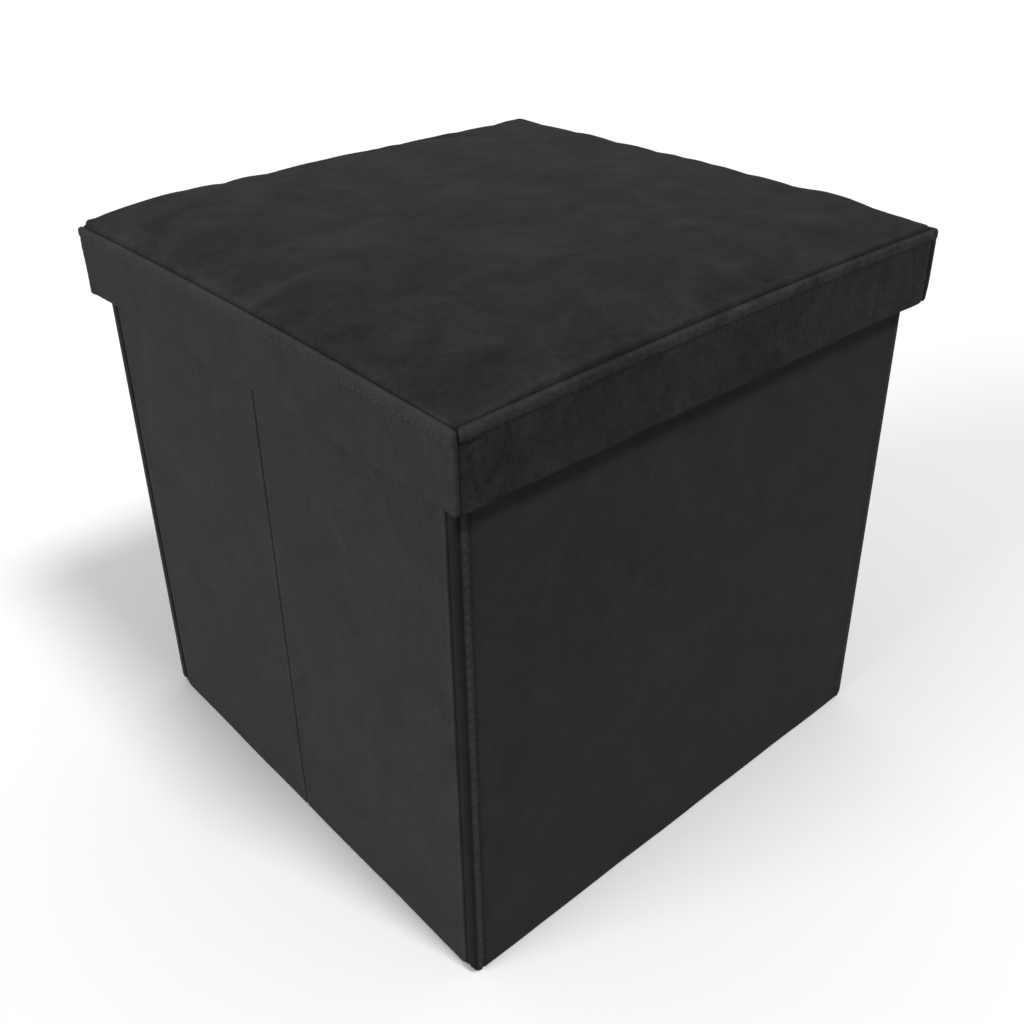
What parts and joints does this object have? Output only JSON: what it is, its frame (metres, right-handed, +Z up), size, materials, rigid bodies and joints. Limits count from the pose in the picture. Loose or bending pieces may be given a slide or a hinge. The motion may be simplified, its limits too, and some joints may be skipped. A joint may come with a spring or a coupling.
{
  "type": "storage ottoman",
  "caption": "Folding cube ottoman in dark velvet: padded lift-off lid over a storage box whose side walls crease inwards and whose base plate flips up, so that it folds flat.",
  "frame": {"origin": "on the floor at the middle of the ottoman", "axes": "+Z up, the whole front panel faces -Y, the creased side walls face -X and +X"},
  "size_m": [0.38, 0.38, 0.38],
  "materials": {
    "velvet": "short-pile velvet",
    "lining_cloth": "non-woven lining",
    "fibreboard": "raw fibreboard",
    "skirt_cardboard": "grey board",
    "foam": "open-cell foam",
    "ribbon": "grosgrain ribbon"
  },
  "bodies": {
    "front_panel": {"base_seam": "velvet", "bottom_cloth": "lining_cloth", "front_board": "fibreboard", "front_cover": "velvet", "front_hem": "velvet", "front_left_corner_seam": "velvet", "front_lining": "lining_cloth", "front_right_corner_seam": "velvet"},
    "left_front_half": {"left_crease_seam": "velvet", "left_front_board": "fibreboard", "left_front_cover": "velvet", "left_front_hem": "velvet", "left_front_lining": "lining_cloth"},
    "left_rear_half": {"left_rear_board": "fibreboard", "left_rear_cover": "velvet", "left_rear_hem": "velvet", "left_rear_lining": "lining_cloth"},
    "back_panel": {"back_board": "fibreboard", "back_cover": "velvet", "back_hem": "velvet", "back_left_corner_seam": "velvet", "back_lining": "lining_cloth", "back_right_corner_seam": "velvet"},
    "right_front_half": {"right_crease_seam": "velvet", "right_front_board": "fibreboard", "right_front_cover": "velvet", "right_front_hem": "velvet", "right_front_lining": "lining_cloth"},
    "right_rear_half": {"right_rear_board": "fibreboard", "right_rear_cover": "velvet", "right_rear_hem": "velvet", "right_rear_lining": "lining_cloth"},
    "base_plate": {"base_board": "fibreboard", "base_pull_ribbon": "ribbon", "base_top_cloth": "lining_cloth", "base_under_cloth": "lining_cloth"},
    "lid": {"lid_board": "fibreboard", "lid_foam": "foam", "lid_lining": "lining_cloth", "lid_skirt_back": "velvet", "lid_skirt_board_back": "skirt_cardboard", "lid_skirt_board_front": "skirt_cardboard", "lid_skirt_board_left": "skirt_cardboard", "lid_skirt_board_right": "skirt_cardboard", "lid_skirt_front": "velvet", "lid_skirt_left": "velvet", "lid_skirt_lining_back": "lining_cloth", "lid_skirt_lining_front": "lining_cloth", "lid_skirt_lining_left": "lining_cloth", "lid_skirt_lining_right": "lining_cloth", "lid_skirt_right": "velvet", "lid_top_cover": "velvet"}
  },
  "joints": [
    {"name": "front_left_fold", "type": "hinge", "parent": "front_panel", "child": "left_front_half", "pos_m": [-0.1762, -0.1688, 0.17], "axis": [0, 0, -1], "range_deg": [0, 89.9], "deforming": ["bottom_cloth", "left_front_hem", "left_rear_hem", "back_hem", "right_front_hem", "right_rear_hem"]},
    {"name": "left_crease_fold", "type": "hinge", "parent": "left_front_half", "child": "left_rear_half", "pos_m": [-0.1823, 0, 0.17], "axis": [0, 0, 1], "range_deg": [0, 179.8]},
    {"name": "back_left_fold", "type": "hinge", "parent": "left_rear_half", "child": "back_panel", "pos_m": [-0.1762, 0.1688, 0.17], "axis": [0, 0, -1], "range_deg": [0, 89.9]},
    {"name": "front_right_fold", "type": "hinge", "parent": "front_panel", "child": "right_front_half", "pos_m": [0.1762, -0.1688, 0.17], "axis": [0, 0, 1], "range_deg": [0, 89.9]},
    {"name": "right_crease_fold", "type": "hinge", "parent": "right_front_half", "child": "right_rear_half", "pos_m": [0.1823, 0, 0.17], "axis": [0, 0, -1], "range_deg": [0, 179.8]},
    {"name": "base_flip", "type": "hinge", "parent": "front_panel", "child": "base_plate", "pos_m": [0, -0.17075, 0.00255], "axis": [1, 0, 0], "range_deg": [0, 90]},
    {"name": "lid_lift", "type": "slide", "parent": "front_panel", "child": "lid", "axis": [0, 0, 1], "range_m": [0, 0.3]}
  ],
  "couplings": [
    {"joint": "left_crease_fold", "follows": "front_left_fold", "ratio": 2},
    {"joint": "back_left_fold", "follows": "front_left_fold", "ratio": 1},
    {"joint": "front_right_fold", "follows": "front_left_fold", "ratio": 1},
    {"joint": "right_crease_fold", "follows": "front_left_fold", "ratio": 2}
  ]
}
